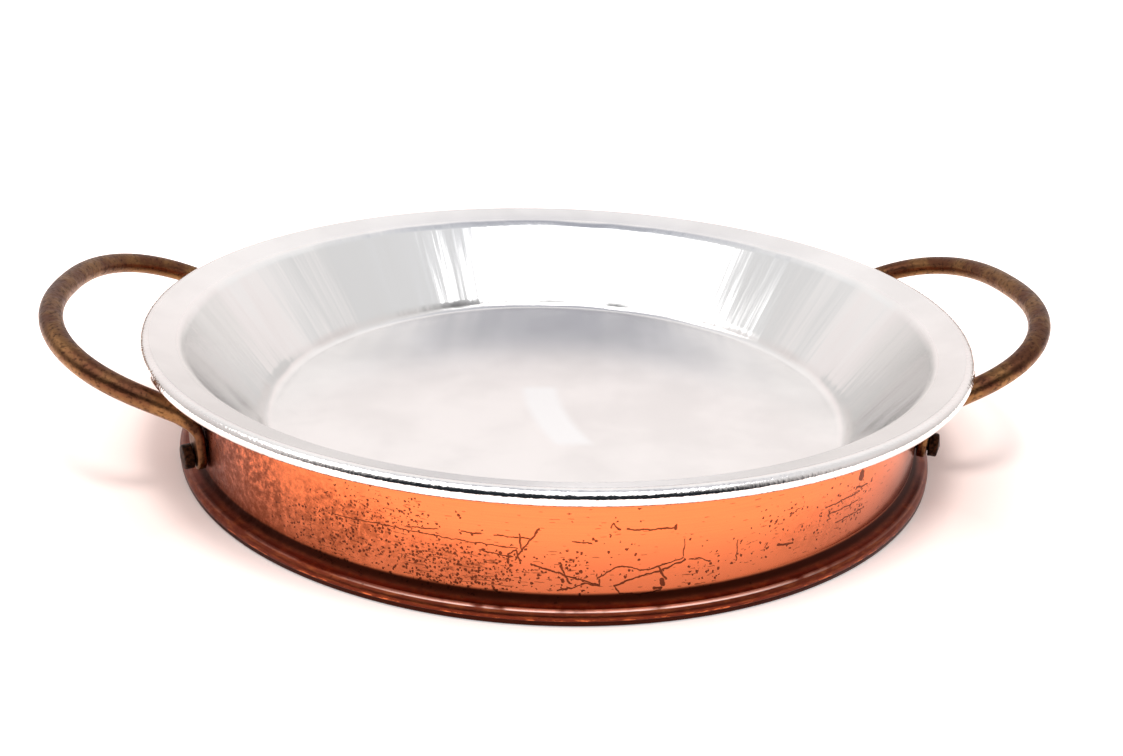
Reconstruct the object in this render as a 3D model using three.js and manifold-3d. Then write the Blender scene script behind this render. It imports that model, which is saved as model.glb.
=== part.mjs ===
// An aluminium pie pan that lifts out of a copper holder ring with two brass handles.
// Millimetres, +Z up. The origin is on the ring's axis at the level it stands on. The handles lie along X.
import * as THREE from 'three';
import { mergeVertices } from 'three/addons/utils/BufferGeometryUtils.js';
import Module from 'manifold-3d';

const wasm = await Module();
wasm.setup();

// Pie pan, one sheet of aluminium: flat bottom, conical side, rim that rises outwards, edge rolled under
const panBottomRadius = 93;
const panMouthRadius = 115.2;
const panDepth = 30.9;
const panSheet = 0.8;
const panHeelRadius = 5;
const panShoulderRadius = 2.5;
const panRimWidth = 10.8;
const panRimRise = 3;
const curlRadius = 2.1;
const curlTurn = THREE.MathUtils.degToRad(270);

// Holder ring, one band of copper sheet: folded hem at the top, coved and rolled foot
const ringHeight = 31.2;
const ringSheet = 0.8;
const hemDepth = 2.2;
const hemGap = 0.3;
const coveRadius = 2.8;
const footRollRadius = 1.9;
const footSeatWidth = 2;

// How the pan sits: its cone wedges in the ring's mouth, this far below its rim
const seatDepth = 5;
const seatGap = 0.3;

// Handles, each one bent brass rod whose ends are hammered flat into ears
const rodDiameter = 6.35;
const handleHalfWidth = 49.6;
const handleLeg = 8;
const handleReach = 37.8;
const handleSquareness = 2.33;
const handleBendRadius = 8;
const handleBeadGap = 3.1;
const earThickness = 3;
const earWidth = 9.4;
const earLength = 10;
const earTipGap = 0.8;
const earGap = 0.3;
const earSquareness = 4;

// Rivets, one in each ear: button head outside, peened tail inside, at a share of the ear above its tip
const shankDiameter = 4;
const shankGap = 0.3;
const headDiameter = 6.8;
const headHeight = 2.8;
const headEdgeRadius = 0.6;
const headCrown = 0.5;
const tailDiameter = 6.4;
const tailHeight = 1.3;
const rivetShare = 0.42;
const rivetSeatGap = 0.3;

// Fineness of the facets
const ringSides = 60;
const rodSides = 12;
const rivetSides = 16;
const arcStep = THREE.MathUtils.degToRad(24);
const curlStep = THREE.MathUtils.degToRad(32);
const loopSteps = 26;
const bendSteps = 7;
const tipSteps = 4;
const tipEndShare = 0.5;
const tailSteps = 3;
const cutOverrun = 3;

// Places that follow from the sizes above
const panSlope = Math.atan2(panDepth, panMouthRadius - panBottomRadius);
const panRadius = panMouthRadius + panRimWidth;
const rimHeight = ringHeight + seatDepth;
const beadBottom = rimHeight + panRimRise - 2 * curlRadius;
const seatRadius = panMouthRadius - seatDepth / Math.tan(panSlope) + panSheet / Math.sin(panSlope);
const ringInnerRadius = seatRadius + seatGap;
const ringRadius = ringInnerRadius + ringSheet;
const rodRadius = rodDiameter / 2;
const earRadius = ringRadius + earGap + earThickness / 2;
const earAngle = Math.asin(handleHalfWidth / earRadius);
const earX = earRadius * Math.cos(earAngle);
const crestHeight = 2 * footRollRadius;
const coveTop = crestHeight + coveRadius;
const earTipHeight = coveTop + earTipGap;
const bendStartHeight = earTipHeight + earLength;
const beadCrossingX = Math.sqrt(panRadius ** 2 - handleHalfWidth ** 2);
const toBead = new THREE.Vector2(beadCrossingX - earX - handleBendRadius, beadBottom - bendStartHeight);
const rodToBead = handleBendRadius + rodRadius + handleBeadGap;
const handleTilt = toBead.angle() - Math.asin(rodToBead / toBead.length());
const bendAngle = Math.PI / 2 - handleTilt;
const bendEndX = earX + handleBendRadius * (1 - Math.cos(bendAngle));
const bendEndHeight = bendStartHeight + handleBendRadius * Math.sin(bendAngle);
const rivetHeight = THREE.MathUtils.lerp(earTipHeight, bendStartHeight, rivetShare);

// Points of an arc about a centre, its start left out so that it can follow a line
function arc(centreR, centreZ, radius, from, to, step = arcStep) {
  const count = Math.ceil(Math.abs(to - from) / step);
  return Array.from({ length: count }, (_, i) => {
    const angle = from + (to - from) * (i + 1) / count;
    return new THREE.Vector2(centreR + radius * Math.cos(angle), centreZ + radius * Math.sin(angle));
  });
}

// Points that round a corner between two straight runs
function fillet(before, corner, after, radius) {
  const a = before.clone().sub(corner).normalize();
  const b = after.clone().sub(corner).normalize();
  const half = Math.acos(a.dot(b)) / 2;
  const centre = a.clone().add(b).normalize().multiplyScalar(radius / Math.sin(half)).add(corner);
  const start = a.multiplyScalar(radius / Math.tan(half)).add(corner).sub(centre);
  const end = b.multiplyScalar(radius / Math.tan(half)).add(corner).sub(centre);
  const from = start.angle();
  let to = end.angle();
  if (to - from > Math.PI) to -= 2 * Math.PI;
  if (from - to > Math.PI) to += 2 * Math.PI;
  return [start.add(centre), ...arc(centre.x, centre.y, radius, from, to)];
}

// Closed outline of a bent sheet from the line along the middle of its thickness
function sheetOutline(middle, thickness) {
  const side = (sign) => middle.map((point, i) => {
    const before = middle[Math.max(i - 1, 0)];
    const after = middle[Math.min(i + 1, middle.length - 1)];
    const incoming = point.clone().sub(before).normalize();
    const outgoing = after.clone().sub(point).normalize();
    const along = incoming.clone().add(outgoing).normalize();
    const straight = i > 0 && i < middle.length - 1 ? along.dot(outgoing) : 1;
    const offset = sign * thickness / 2 / straight;
    return new THREE.Vector2(point.x - along.y * offset, point.y + along.x * offset);
  });
  return [...side(-1), ...side(1).reverse()];
}

// Solid of revolution about Z, from an outline that starts and ends on the axis or goes round a section
function turned(outline, sides) {
  const closed = outline[0].x > 0 ? [...outline, outline[0].clone()] : outline;
  const geometry = new THREE.LatheGeometry(closed, sides);
  geometry.rotateX(Math.PI / 2);
  return geometry;
}

function toSolid(geometry) {
  const bare = geometry.clone();
  bare.deleteAttribute('normal');
  bare.deleteAttribute('uv');
  const merged = mergeVertices(bare);
  const corners = merged.index.array;
  const triangles = [];
  for (let i = 0; i < corners.length; i += 3) {
    const [a, b, c] = corners.slice(i, i + 3);
    if (a !== b && b !== c && c !== a) triangles.push(a, b, c);
  }
  const mesh = new wasm.Mesh({
    numProp: 3,
    vertProperties: new Float32Array(merged.attributes.position.array),
    triVerts: new Uint32Array(triangles),
  });
  mesh.merge();
  return new wasm.Manifold(mesh);
}

function toGeometry(solid) {
  const mesh = solid.getMesh();
  const geometry = new THREE.BufferGeometry();
  geometry.setAttribute('position', new THREE.BufferAttribute(mesh.vertProperties, 3));
  geometry.setIndex(new THREE.BufferAttribute(mesh.triVerts, 1));
  geometry.computeVertexNormals();
  return geometry;
}

function metal(color, roughness) {
  return new THREE.MeshStandardMaterial({ color, roughness, metalness: 1 });
}

const satinAluminium = () => metal(0xdcdbd8, 0.35);
const polishedCopper = () => metal(0xd9814f, 0.25);
const agedBrass = () => metal(0x7a5a2c, 0.4);
const darkenedBrass = () => metal(0x3a281b, 0.45);

// The pan's section, from the centre of its bottom out to the end of the curl. The rim runs straight from
// the shoulder and meets the curl as its tangent.
function panSection() {
  const half = panSheet / 2;
  const level = rimHeight - half;
  const bottom = level - panDepth;
  const shift = half / Math.sin(panSlope) - half / Math.tan(panSlope);
  const centre = new THREE.Vector2(0, bottom);
  const heel = new THREE.Vector2(panBottomRadius + shift, bottom);
  const shoulder = new THREE.Vector2(panMouthRadius + shift, level);
  const curlCentre = new THREE.Vector2(panRadius - curlRadius, rimHeight + panRimRise - curlRadius);
  const curlMiddle = curlRadius - half;
  const toCurl = curlCentre.clone().sub(shoulder);
  const rimAngle = toCurl.angle() + Math.asin(curlMiddle / toCurl.length());
  const curlStart = rimAngle + Math.PI / 2;
  const rimEnd = new THREE.Vector2(curlMiddle, 0)
    .rotateAround(new THREE.Vector2(), curlStart)
    .add(curlCentre);
  return [
    centre,
    ...fillet(centre, heel, shoulder, panHeelRadius),
    ...fillet(heel, shoulder, rimEnd, panShoulderRadius),
    rimEnd,
    ...arc(curlCentre.x, curlCentre.y, curlMiddle, curlStart, curlStart - curlTurn, curlStep),
  ];
}

function makePan() {
  return turned(sheetOutline(panSection(), panSheet), ringSides);
}

// The ring's section, from the end of the hem over the top, down the wall and round the foot
function ringSection() {
  const half = ringSheet / 2;
  const wall = ringRadius - half;
  const foldRadius = (ringSheet + hemGap) / 2;
  const foldHeight = ringHeight - half - foldRadius;
  const crestRadius = ringRadius + coveRadius;
  const rollMiddle = footRollRadius - half;
  return [
    new THREE.Vector2(wall + 2 * foldRadius, ringHeight - hemDepth),
    new THREE.Vector2(wall + 2 * foldRadius, foldHeight),
    ...arc(wall + foldRadius, foldHeight, foldRadius, 0, Math.PI, 2 * arcStep),
    new THREE.Vector2(wall, coveTop),
    ...arc(crestRadius, coveTop, coveRadius + half, Math.PI, 3 * Math.PI / 2),
    ...arc(crestRadius, footRollRadius, rollMiddle, Math.PI / 2, -Math.PI / 2),
    new THREE.Vector2(crestRadius - footSeatWidth, half),
  ];
}

// A rod along +X through a rivet's place, to cut its hole
function shankHole(angle, radius, length) {
  const rod = new THREE.CylinderGeometry(
    shankDiameter / 2 + shankGap, shankDiameter / 2 + shankGap, length + 2 * cutOverrun, rivetSides);
  rod.rotateZ(-Math.PI / 2);
  rod.translate(radius, 0, rivetHeight);
  rod.rotateZ(angle);
  return toSolid(rod);
}

function makeRing() {
  let ring = toSolid(turned(sheetOutline(ringSection(), ringSheet), ringSides));
  for (const handle of [0, Math.PI]) {
    for (const side of [-1, 1]) {
      ring = ring.subtract(shankHole(handle + side * earAngle, ringRadius - ringSheet / 2, ringSheet));
    }
  }
  return toGeometry(ring);
}

// Stations along one end of the rod: the ear's round tip, its flat run, and the bend up to the leg.
// A station has its place, the direction of the rod, the direction of its thickness, and its section.
function earStations(side) {
  const stations = [];
  const tipRadius = earWidth / 2;
  const flat = { thick: earThickness / 2, square: earSquareness };
  const along = new THREE.Vector3(0, 0, 1);
  const inward = new THREE.Vector3(-Math.cos(earAngle), -side * Math.sin(earAngle), 0);
  for (let i = tipSteps; i >= 0; i -= 1) {
    const angle = (Math.PI / 2) * i / (tipSteps + tipEndShare);
    const place = new THREE.Vector3(
      earX, side * handleHalfWidth, earTipHeight + tipRadius * (1 - Math.sin(angle)));
    stations.push({ place, along, across: inward, wide: tipRadius * Math.cos(angle), ...flat });
  }
  for (let i = 0; i < bendSteps; i += 1) {
    const share = i / bendSteps;
    const turn = bendAngle * share;
    const rounding = THREE.MathUtils.smoothstep(share, 0, 1);
    const place = new THREE.Vector3(
      earX + handleBendRadius * (1 - Math.cos(turn)),
      side * handleHalfWidth,
      bendStartHeight + handleBendRadius * Math.sin(turn));
    const tangent = new THREE.Vector3(Math.sin(turn), 0, Math.cos(turn));
    const across = new THREE.Vector3(-Math.cos(turn), 0, Math.sin(turn));
    across.applyAxisAngle(tangent, side * earAngle * (1 - rounding));
    stations.push({
      place,
      along: tangent,
      across,
      wide: THREE.MathUtils.lerp(earWidth / 2, rodRadius, rounding),
      thick: THREE.MathUtils.lerp(earThickness / 2, rodRadius, rounding),
      square: THREE.MathUtils.lerp(earSquareness, 2, rounding),
    });
  }
  return stations;
}

// Stations round the handle's loop, a squarish half oval in a plane that tilts up outwards
function loopStations() {
  const outward = new THREE.Vector3(Math.cos(handleTilt), 0, Math.sin(handleTilt));
  const across = new THREE.Vector3(-Math.sin(handleTilt), 0, Math.cos(handleTilt));
  const base = new THREE.Vector3(bendEndX, 0, bendEndHeight);
  const point = (share) => {
    const angle = Math.PI * share;
    const reach = handleReach * Math.sin(angle) ** (2 / handleSquareness);
    const width = handleHalfWidth * Math.abs(Math.cos(angle)) ** (2 / handleSquareness);
    return base.clone()
      .addScaledVector(outward, handleLeg + reach)
      .add(new THREE.Vector3(0, Math.sign(Math.cos(angle)) * width, 0));
  };
  const round = { wide: rodRadius, thick: rodRadius, square: 2 };
  const leg = (side) => ({
    place: base.clone().add(new THREE.Vector3(0, side * handleHalfWidth, 0)),
    along: outward.clone().multiplyScalar(side),
    across,
    ...round,
  });
  const stations = [leg(1)];
  const curve = Array.from({ length: loopSteps + 1 }, (_, i) => point(i / loopSteps));
  curve.forEach((place, i) => {
    const before = curve[Math.max(i - 1, 0)];
    const after = curve[Math.min(i + 1, loopSteps)];
    const along = after.clone().sub(before).normalize();
    if (i === 0) along.copy(outward);
    if (i === loopSteps) along.copy(outward).negate();
    stations.push({ place, along, across, ...round });
  });
  stations.push(leg(-1));
  return stations;
}

// Closed skin over a chain of stations
function skin(stations, sides) {
  const positions = [];
  const index = [];
  for (const { place, along, across, wide, thick, square } of stations) {
    const sideways = across.clone().cross(along);
    for (let i = 0; i < sides; i += 1) {
      const angle = 2 * Math.PI * i / sides;
      const c = Math.cos(angle);
      const s = Math.sin(angle);
      const point = place.clone()
        .addScaledVector(sideways, wide * Math.sign(c) * Math.abs(c) ** (2 / square))
        .addScaledVector(across, thick * Math.sign(s) * Math.abs(s) ** (2 / square));
      positions.push(point.x, point.y, point.z);
    }
  }
  const last = (stations.length - 1) * sides;
  for (let ring = 0; ring < last; ring += sides) {
    for (let i = 0; i < sides; i += 1) {
      const next = (i + 1) % sides;
      index.push(ring + i, ring + next, ring + sides + next);
      index.push(ring + i, ring + sides + next, ring + sides + i);
    }
  }
  for (let i = 1; i < sides - 1; i += 1) {
    index.push(0, i + 1, i);
    index.push(last, last + i, last + i + 1);
  }
  const geometry = new THREE.BufferGeometry();
  geometry.setAttribute('position', new THREE.Float32BufferAttribute(positions, 3));
  geometry.setIndex(index);
  return geometry;
}

function makeHandle() {
  const start = earStations(1);
  const end = earStations(-1).reverse();
  for (const station of end) station.along = station.along.clone().negate();
  let handle = toSolid(skin([...start, ...loopStations(), ...end], rodSides));
  for (const side of [-1, 1]) {
    handle = handle.subtract(shankHole(side * earAngle, earRadius, earThickness));
  }
  return toGeometry(handle);
}

// A rivet along +X, its X measured from the ring's axis
function makeRivet() {
  const shank = shankDiameter / 2;
  const tailFace = ringInnerRadius - rivetSeatGap;
  const headFace = earRadius + earThickness / 2 + rivetSeatGap;
  const headTop = headFace + headHeight;
  const headRim = headDiameter / 2 - headEdgeRadius;
  const tail = tailDiameter / 2;
  const outline = [
    new THREE.Vector2(0, tailFace - tailHeight),
    ...Array.from({ length: tailSteps }, (_, i) => {
      const angle = (Math.PI / 2) * (i + 1) / tailSteps;
      return new THREE.Vector2(tail * Math.sin(angle), tailFace - tailHeight * Math.cos(angle) ** 2);
    }),
    new THREE.Vector2(shank, tailFace),
    new THREE.Vector2(shank, headFace),
    new THREE.Vector2(headDiameter / 2, headFace),
    new THREE.Vector2(headDiameter / 2, headTop - headCrown - headEdgeRadius),
    ...arc(headRim, headTop - headCrown - headEdgeRadius, headEdgeRadius, 0, Math.PI / 2, 2 * arcStep),
    new THREE.Vector2(0, headTop),
  ];
  const geometry = turned(outline, rivetSides);
  geometry.rotateY(Math.PI / 2);
  return geometry;
}

function addMesh(parent, name, geometry, material) {
  const mesh = new THREE.Mesh(geometry, material);
  mesh.name = name;
  parent.add(mesh);
  return mesh;
}

const group = new THREE.Group();
addMesh(group, 'pie_pan', makePan(), satinAluminium());
addMesh(group, 'holder_ring', makeRing(), polishedCopper());

for (const [name, angle] of [['right', 0], ['left', Math.PI]]) {
  const side = new THREE.Group();
  side.rotation.z = angle;
  addMesh(side, `handle_${name}`, makeHandle(), agedBrass());
  for (const [place, turn] of [['near', name === 'right' ? -1 : 1], ['far', name === 'right' ? 1 : -1]]) {
    const rivet = addMesh(side, `rivet_${name}_${place}`, makeRivet(), darkenedBrass());
    rivet.rotation.z = turn * earAngle;
    rivet.position.z = rivetHeight;
  }
  group.add(side);
}

export default group;
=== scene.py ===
"""An aluminium pie pan that sits in a copper holder ring with two brass handles."""
import math

import bmesh
import bpy
from mathutils import Matrix, Vector


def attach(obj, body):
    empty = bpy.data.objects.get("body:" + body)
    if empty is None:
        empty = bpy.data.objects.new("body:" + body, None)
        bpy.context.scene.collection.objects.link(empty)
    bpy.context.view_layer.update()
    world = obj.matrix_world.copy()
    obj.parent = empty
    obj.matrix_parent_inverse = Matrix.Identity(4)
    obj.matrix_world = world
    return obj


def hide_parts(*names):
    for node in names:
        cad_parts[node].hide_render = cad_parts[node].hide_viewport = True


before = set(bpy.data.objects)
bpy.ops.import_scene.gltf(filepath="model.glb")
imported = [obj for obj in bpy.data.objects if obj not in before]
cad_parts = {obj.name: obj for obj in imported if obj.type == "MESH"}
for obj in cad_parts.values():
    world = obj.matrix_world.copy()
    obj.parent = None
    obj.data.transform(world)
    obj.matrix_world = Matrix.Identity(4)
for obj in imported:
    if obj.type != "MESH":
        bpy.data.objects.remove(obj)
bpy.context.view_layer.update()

# Pie pan. One disc of aluminium sheet, spun over a block: flat bottom, conical side, a rim that rises
# outwards, and the edge rolled under into a bead. It only rests in the ring, so it lifts out.
# All sizes in this file are in mm, unless a comment says otherwise.
MM = 0.001
SHEET = 0.8
RIM_HEIGHT = 36.2
PAN_BOTTOM_RADIUS = 93.0
PAN_MOUTH_RADIUS = 115.2
PAN_DEPTH = 30.9
PAN_RADIUS = 125.97
HEEL_RADIUS = 5.0
SHOULDER_RADIUS = 2.5
RIM_RISE = 3.0
BEAD_RADIUS = 2.1
BEAD_TURN = 270
BOTTOM_STEP = 30
PAN_FACET = 10
LATHE_STEPS = 288
SEAM_GAP = 0.002
BROKEN_EDGE_SHARE = 1 / 6
BROKEN_EDGE_ANGLE = 50


def draw_section(bm, start, heading, path, facet):
    """Draws half a section in the XZ plane as a bender makes it.

    The path gives each straight run as its length and 0, and each bend as its radius and its angle. A
    bend is drawn in facets of about the given angle.
    """
    tip = bm.verts.new((start[0], 0, start[1]))
    heading = math.radians(heading)
    for size, turn in path:
        if turn == 0:
            tip = bmesh.ops.extrude_vert_indiv(bm, verts=[tip])["verts"][0]
            bmesh.ops.translate(bm, vec=(size * math.cos(heading), 0, size * math.sin(heading)), verts=[tip])
        else:
            side = math.copysign(size, turn)
            centre = tip.co + Vector((-math.sin(heading), 0, math.cos(heading))) * side
            bent = bmesh.ops.spin(bm, geom=[tip], cent=centre, axis=(0, -1, 0),
                                  angle=math.radians(turn), steps=max(2, round(abs(turn) / facet)))
            tip = next(part for part in bent["geom_last"] if isinstance(part, bmesh.types.BMVert))
            heading += math.radians(turn)


def turn_on_lathe(bm, steps):
    """Turns the section into a round piece about Z, with its seam and its middle closed."""
    bmesh.ops.spin(bm, geom=bm.verts[:] + bm.edges[:], cent=(0, 0, 0), axis=(0, 0, 1),
                   angle=math.tau, steps=steps, use_merge=True)
    bmesh.ops.remove_doubles(bm, verts=bm.verts[:], dist=SEAM_GAP)
    bmesh.ops.recalc_face_normals(bm, faces=bm.faces[:])


def make_piece(bm, name, material, body, node):
    """Makes the finished mesh an object in metres, which stands for a CAD node and rides on its body."""
    bmesh.ops.scale(bm, vec=(MM, MM, MM), verts=bm.verts[:])
    for face in bm.faces:
        face.smooth = True
    mesh = bpy.data.meshes.new(name)
    bm.to_mesh(mesh)
    bm.free()
    mesh.materials.append(material)
    piece = bpy.data.objects.new(name, mesh)
    bpy.context.scene.collection.objects.link(piece)
    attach(piece, body)
    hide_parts(node)
    return piece


def thicken(piece, sheet):
    """Gives a sheet piece its thickness to both sides of its middle line, and breaks its cut edges."""
    wall = piece.modifiers.new("Sheet thickness", "SOLIDIFY")
    wall.thickness = sheet * MM
    wall.offset = 0
    wall.use_even_offset = True
    edge = piece.modifiers.new("Broken edges", "BEVEL")
    edge.width = sheet * MM * BROKEN_EDGE_SHARE
    edge.segments = 2
    edge.limit_method = "ANGLE"
    edge.angle_limit = math.radians(BROKEN_EDGE_ANGLE)


def colour(code):
    """An sRGB hex colour as linear values."""
    parts = [int(code[i:i + 2], 16) / 255 for i in (1, 3, 5)]
    return (*[p / 12.92 if p <= 0.04045 else ((p + 0.055) / 1.055) ** 2.4 for p in parts], 1)


def add(tree, kind, inputs=(), **settings):
    """Adds one node: its settings first, then a value or another node for each input, in order or by name."""
    node = tree.nodes.new("ShaderNode" + kind)
    for name, value in settings.items():
        setattr(node, name, value)
    sockets = [socket for socket in node.inputs if socket.enabled]
    if isinstance(inputs, dict):
        sockets = [next(socket for socket in sockets if socket.name == name) for name in inputs]
        inputs = inputs.values()
    for socket, value in zip(sockets, inputs):
        if isinstance(value, bpy.types.Node):
            value = next(output for output in value.outputs if output.enabled)
        if isinstance(value, bpy.types.NodeSocket):
            tree.links.new(value, socket)
        else:
            socket.default_value = value
    return node


def start_material(name):
    """A new material with its node tree empty."""
    material = bpy.data.materials.new(name)
    material.use_nodes = True
    tree = material.node_tree
    tree.nodes.clear()
    return material, tree


def finish_tree(tree, kind, shader):
    """Links the finished shader to the output of a material or of the world."""
    output = tree.nodes.new("ShaderNodeOutput" + kind)
    tree.links.new(shader.outputs[0], output.inputs["Surface"])


def place_in_mm(tree):
    """Object coordinates in mm."""
    here = add(tree, "TexCoord").outputs["Object"]
    return add(tree, "VectorMath", [here, 1 / MM], operation="SCALE")


def soft_band(tree, value, start, full, fall, end):
    """1 from full to fall, 0 below the start and above the end, and a soft step at each side."""
    rise = add(tree, "MapRange", [value, start, full], interpolation_type="SMOOTHSTEP")
    drop = add(tree, "MapRange", [value, end, fall], interpolation_type="SMOOTHSTEP")
    return add(tree, "Math", [rise, drop], operation="MULTIPLY")


# Spun aluminium: pale and satin from the spinning roller. The draw marks are a shallow waviness round
# the side, which breaks the edges of reflections into bright and dark streaks down the slope. The bead
# is rolled smoother, with fine ticks from its tool. The near half of the side is greyer, as painted shade,
# and a painted highlight lies in a stroke on the bottom.
ALUMINIUM = colour("#FCF8F6")
ALUMINIUM_DULL = colour("#F3EFED")
ALUMINIUM_SIDE = colour("#F1F0EF")
ALUMINIUM_NEAR_SHADE = colour("#CCCBCA")
ALUMINIUM_PAINTED_HIGHLIGHT = colour("#FFFFFF")
# Where each part of the pan begins and ends, as radii, and where the near half's painted shade does, along Y
SIDE_BORDERS = (92, 96, 113.5, 116)
RIM_BORDER = (115.5, 117)
BEAD_BORDER = (122.9, 123.5)
NEAR_SHADE_BORDER = (10, -50)
# Sizes of the patterns, and the levels of a noise between which it comes to show. The grain is drawn
# coarser than the real one, so that it shows.
DULL_CLOUD = 26
DULL_LEVELS = (0.35, 0.7)
GRAIN = 0.6
GRAIN_DEPTH = 0.0012
TICK = (0.9, 0.9, 1.8)
TICK_DEPTH = 0.1
# Draw marks: from crest to crest round the side, depth and detail, the radius at which they are that far
# apart, and how few crests there are to a mm down the side
DRAW_MARKS = ((1.2, 0.045, 1.0), (4.0, 0.22, 1.0), (14.0, 1.1, 0.0))
DRAW_RADIUS = 105.0
CHANGE_DOWN = 0.03
# A painted highlight in a stroke a little off the middle of the bottom: its middle, its bend, the half
# width at which it is gone and at which it is full, and its reach along Y
HIGHLIGHT_X = -5.0
HIGHLIGHT_Y = 5.0
HIGHLIGHT_BEND = 0.0045
HIGHLIGHT_WIDTH = (7.5, 3.5)
HIGHLIGHT_REACH = (-37, -32, 6, 12)
# Roughness of the bottom, and how far that of the other parts is from it
SATIN = 0.24
RIM_DULLER = 0.1
SIDE_SMOOTHER = 0.07
BEAD_SMOOTHER = 0.22

spun_aluminium, tree = start_material("Spun aluminium")
place = place_in_mm(tree)
axes = add(tree, "SeparateXYZ", [place])
level = add(tree, "VectorMath", [place, (1, 1, 0)], operation="MULTIPLY")
radius = add(tree, "VectorMath", [level], operation="LENGTH")
outwards = add(tree, "VectorMath", [level], operation="NORMALIZE")
on_side = soft_band(tree, radius, *SIDE_BORDERS)
on_rim = add(tree, "MapRange", [radius, *RIM_BORDER], interpolation_type="SMOOTHSTEP")
on_bead = add(tree, "MapRange", [radius, *BEAD_BORDER], interpolation_type="SMOOTHSTEP")
# Height of the surface: draw marks on the side, ticks on the bead, and grain all over
down_side = add(tree, "Math", [axes.outputs["Z"], CHANGE_DOWN], operation="MULTIPLY")
down_side = add(tree, "CombineXYZ", {"Z": down_side})
waves = 0
for spacing, depth, detail in DRAW_MARKS:
    round_side = add(tree, "VectorMath", [outwards, DRAW_RADIUS / spacing], operation="SCALE")
    wave_place = add(tree, "VectorMath", [round_side, down_side], operation="ADD")
    wave = add(tree, "TexNoise", {"Vector": wave_place, "Scale": 1.0, "Detail": detail})
    wave = add(tree, "Math", [wave, depth], operation="MULTIPLY")
    waves = add(tree, "Math", [waves, wave], operation="ADD")
waves = add(tree, "Math", [waves, on_side], operation="MULTIPLY")
tick_place = add(tree, "VectorMath", [place, TICK], operation="DIVIDE")
ticks = add(tree, "TexNoise", {"Vector": tick_place, "Scale": 1.0, "Detail": 1.0})
ticks = add(tree, "Math", [ticks, TICK_DEPTH], operation="MULTIPLY")
ticks = add(tree, "Math", [ticks, on_bead], operation="MULTIPLY")
grain = add(tree, "TexNoise", {"Vector": place, "Scale": 1 / GRAIN, "Detail": 2.0})
grain = add(tree, "Math", [grain, GRAIN_DEPTH], operation="MULTIPLY")
surface = add(tree, "Math", [waves, ticks], operation="ADD")
surface = add(tree, "Math", [surface, grain], operation="ADD")
relief = add(tree, "Bump", {"Strength": 1.0, "Distance": MM, "Height": surface})
# Colour: satin in soft clouds, a painted highlight on the bottom, and the side, its near half painted shade
dull = add(tree, "TexNoise", {"Vector": place, "Scale": 1 / DULL_CLOUD, "Detail": 4.0})
dull = add(tree, "MapRange", [dull, *DULL_LEVELS], interpolation_type="SMOOTHSTEP")
satin_tone = add(tree, "Mix", [dull, ALUMINIUM, ALUMINIUM_DULL], data_type="RGBA")
bend = add(tree, "Math", [axes.outputs["Y"], -HIGHLIGHT_Y], operation="ADD")
bend = add(tree, "Math", [bend, 2.0], operation="POWER")
bend = add(tree, "Math", [bend, HIGHLIGHT_BEND], operation="MULTIPLY")
across_stroke = add(tree, "Math", [axes.outputs["X"], bend], operation="SUBTRACT")
across_stroke = add(tree, "Math", [across_stroke, -HIGHLIGHT_X], operation="ADD")
across_stroke = add(tree, "Math", [across_stroke], operation="ABSOLUTE")
in_width = add(tree, "MapRange", [across_stroke, *HIGHLIGHT_WIDTH], interpolation_type="SMOOTHSTEP")
in_reach = soft_band(tree, axes.outputs["Y"], *HIGHLIGHT_REACH)
painted_highlight = add(tree, "Math", [in_width, in_reach], operation="MULTIPLY")
bottom_tone = add(tree, "Mix", [painted_highlight, satin_tone, ALUMINIUM_PAINTED_HIGHLIGHT], data_type="RGBA")
# Painted shade: the near half of the side is greyer
near_shade = add(tree, "MapRange", [axes.outputs["Y"], *NEAR_SHADE_BORDER], interpolation_type="SMOOTHSTEP")
side_tone = add(tree, "Mix", [near_shade, ALUMINIUM_SIDE, ALUMINIUM_NEAR_SHADE], data_type="RGBA")
tone = add(tree, "Mix", [on_side, bottom_tone, side_tone], data_type="RGBA")
# Roughness
duller = add(tree, "Math", [on_rim, RIM_DULLER], operation="MULTIPLY")
sheen = add(tree, "Math", [SATIN, duller], operation="ADD")
for spot, smoother in ((on_side, SIDE_SMOOTHER), (on_bead, BEAD_SMOOTHER)):
    smoother = add(tree, "Math", [spot, smoother], operation="MULTIPLY")
    sheen = add(tree, "Math", [sheen, smoother], operation="SUBTRACT")
finish_tree(tree, "Material", add(tree, "BsdfPrincipled", {
    "Base Color": tone, "Metallic": 1.0, "Normal": relief, "Roughness": sheen}))

slope = math.atan2(PAN_DEPTH, PAN_MOUTH_RADIUS - PAN_BOTTOM_RADIUS)
half_sheet = SHEET / 2
# The sizes above are of the inside, the section is drawn along the middle of the sheet
heel_x = PAN_BOTTOM_RADIUS + half_sheet * math.tan(slope / 2)
shoulder_x = PAN_MOUTH_RADIUS + half_sheet * math.tan(slope / 2)
heel_cut = HEEL_RADIUS * math.tan(slope / 2)
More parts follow.
